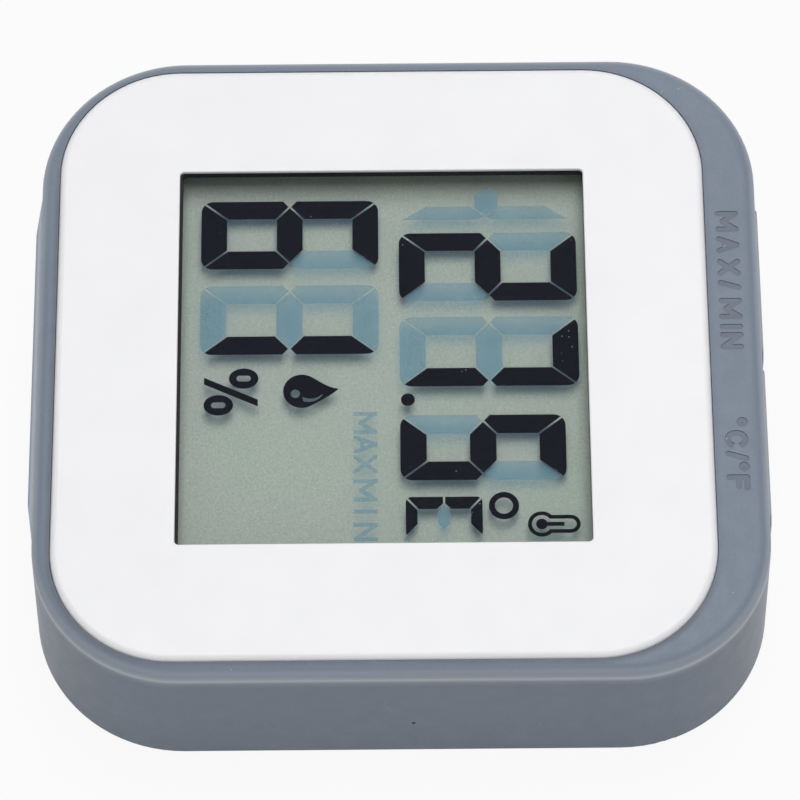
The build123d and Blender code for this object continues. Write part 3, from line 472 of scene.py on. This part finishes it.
def dress_all():
    """Gives every CAD node its material."""
    dress(silicone(), "silicone_sleeve", "range_button_pad", "unit_button_pad")
    white = white_plastic()
    dress(white, "front_case", "back_case", "battery_door", "range_button_key", "unit_button_key")
    dress(moulded("black_plastic", srgb(20, 20, 21), 0.5), "range_switch_plunger", "unit_switch_plunger")
    dress(moulded("switch_plastic", srgb(40, 40, 42), 0.55), "range_switch_body", "unit_switch_body")
    dress(black_foam(), "display_gasket", "foam_strip")
    dress(polariser(), "display_front_polariser")
    dress(front_glass(), "display_front_glass")
    dress(rear_glass(), "display_rear_glass")
    dress(crystal_figure("lit_figure", srgb(9, 12, 27), 1, srgb(136, 165, 188)), "display_lit_figures")
    dress(crystal_figure("idle_figure", srgb(98, 140, 160), 0.3, srgb(228, 240, 250)), "display_idle_figures")
    # Light passes the clear sheets unchanged, so shadow and diffuse rays skip them
    for name in ("display_front_polariser", "display_front_glass", "display_rear_glass"):
        nodes[name].visible_shadow = False
        nodes[name].visible_diffuse = False
    dress(moulded("seal_resin", srgb(70, 68, 60), 0.4), "display_edge_seal")
    dress(reflector(), "display_reflector")
    dress(layered_rubber(), "zebra_strip")
    dress(board_laminate(), "circuit_board")
    dress(moulded("black_resin", srgb(14, 14, 15), 0.25), "chip_blob", "thermistor")
    dress(moulded("ceramic", srgb(150, 128, 100), 0.4), "small_board_parts")
    dress(moulded("sensor_ceramic", srgb(220, 214, 196), 0.6), "humidity_sensor")
    dress(metal("nickel_can", srgb(200, 200, 196), 0.25), "clock_crystal")
    dress(metal("screw_steel", srgb(165, 165, 166), 0.35), "board_screws", "case_screws")
    dress(metal("cell_steel", srgb(205, 205, 202), 0.28, (8, 1, 1)), "coin_cell")
    dress(metal("contact_metal", srgb(206, 200, 178), 0.22), "positive_contact", "negative_contact")
    dress(metal("spring_steel", srgb(190, 190, 188), 0.2), "range_switch_dome", "unit_switch_dome")


# Floor: the camera, gloss and glass see its glow for the most part, and the lamps' light falls on its paint
FLOOR_REACH = 2.0
FLOOR_GAP = 0.02 * MM
FLOOR_PAINT = srgb(205, 205, 205)
FLOOR_GLOW = 0.92


def make_floor():
    """A wide white floor just under the sleeve."""
    mesh = bpy.data.meshes.new("floor")
    corners = [(x * FLOOR_REACH, y * FLOOR_REACH) for x, y in ((-1, -1), (1, -1), (1, 1), (-1, 1))]
    mesh.from_pydata([(x, y, sleeve_low.z - FLOOR_GAP) for x, y in corners], [], [(0, 1, 2, 3)])
    floor = bpy.data.objects.new("floor", mesh)
    bpy.context.scene.collection.objects.link(floor)
    s = Shader("floor_white")
    paint = s.surface(FLOOR_PAINT, 0.9, Specular_IOR_Level=0.0)
    glow = s.add("ShaderNodeEmission")
    path = s.add("ShaderNodeLightPath")
    shown = s.maths("MAXIMUM", path.outputs["Is Camera Ray"], path.outputs["Is Glossy Ray"])
    shown = s.maths("MAXIMUM", shown, path.outputs["Is Transmission Ray"])
    s.blend(s.maths("MULTIPLY", shown, FLOOR_GLOW), paint, glow)
    mesh.materials.append(s.material)


# Studio light: a large oval soft box overhead, a small low one in front, and a pale room
KEY_DIRECTION = (-0.26, 0.05, 0.96)
KEY_DISTANCE = 1.6
KEY_LENGTH = 1.7
KEY_WIDTH = 1.0
KEY_POWER = 20.0
FRONT_DIRECTION = (0.9, 0.1, 0.36)
FRONT_DISTANCE = 1.2
FRONT_SIZE = 0.6
FRONT_POWER = 1.7
ROOM_SHADES = ((0.0, grey(0.33)), (0.4, grey(0.4)), (0.9, grey(0.2)))


def make_lamp(name, direction, distance, width, length, power):
    """An oval soft box that faces the object. Its length runs along X where it hangs overhead."""
    data = bpy.data.lights.new(name, "AREA")
    data.shape = "ELLIPSE"
    data.size = width
    data.size_y = length
    data.energy = power
    lamp = bpy.data.objects.new(name, data)
    to_lamp = Vector(direction).normalized()
    lamp.location = CAMERA_TARGET + to_lamp * distance
    lamp.rotation_mode = "QUATERNION"
    lamp.rotation_quaternion = (-to_lamp).to_track_quat("-Z", "Y")
    bpy.context.scene.collection.objects.link(lamp)


def make_room():
    """White where the camera meets it, and for everything else a soft grey that is darker overhead."""
    world = bpy.data.worlds.new("room")
    bpy.context.scene.world = world
    world.use_nodes = True
    world.node_tree.nodes.clear()
    add = world.node_tree.nodes.new
    join = world.node_tree.links.new
    height = add("ShaderNodeSeparateXYZ")
    join(add("ShaderNodeTexCoord").outputs["Generated"], height.inputs[0])
    shade = add("ShaderNodeValToRGB")
    elements = shade.color_ramp.elements
    elements.new(0.4)
    for element, (place, colour) in zip(elements, ROOM_SHADES):
        element.position = place
        element.color = colour
    join(height.outputs["Z"], shade.inputs["Fac"])
    light = add("ShaderNodeBackground")
    join(shade.outputs["Color"], light.inputs["Color"])
    white = add("ShaderNodeBackground")
    white.inputs["Color"].default_value = grey(1.0)
    mix = add("ShaderNodeMixShader")
    join(add("ShaderNodeLightPath").outputs["Is Camera Ray"], mix.inputs[0])
    join(light.outputs[0], mix.inputs[1])
    join(white.outputs[0], mix.inputs[2])
    join(mix.outputs[0], add("ShaderNodeOutputWorld").inputs["Surface"])


make_camera()
dress_all()
make_floor()
make_lamp("key_light", KEY_DIRECTION, KEY_DISTANCE, KEY_WIDTH, KEY_LENGTH, KEY_POWER)
make_lamp("front_light", FRONT_DIRECTION, FRONT_DISTANCE, FRONT_SIZE, FRONT_SIZE, FRONT_POWER)
make_room()
bpy.context.scene.view_settings.view_transform = "Standard"
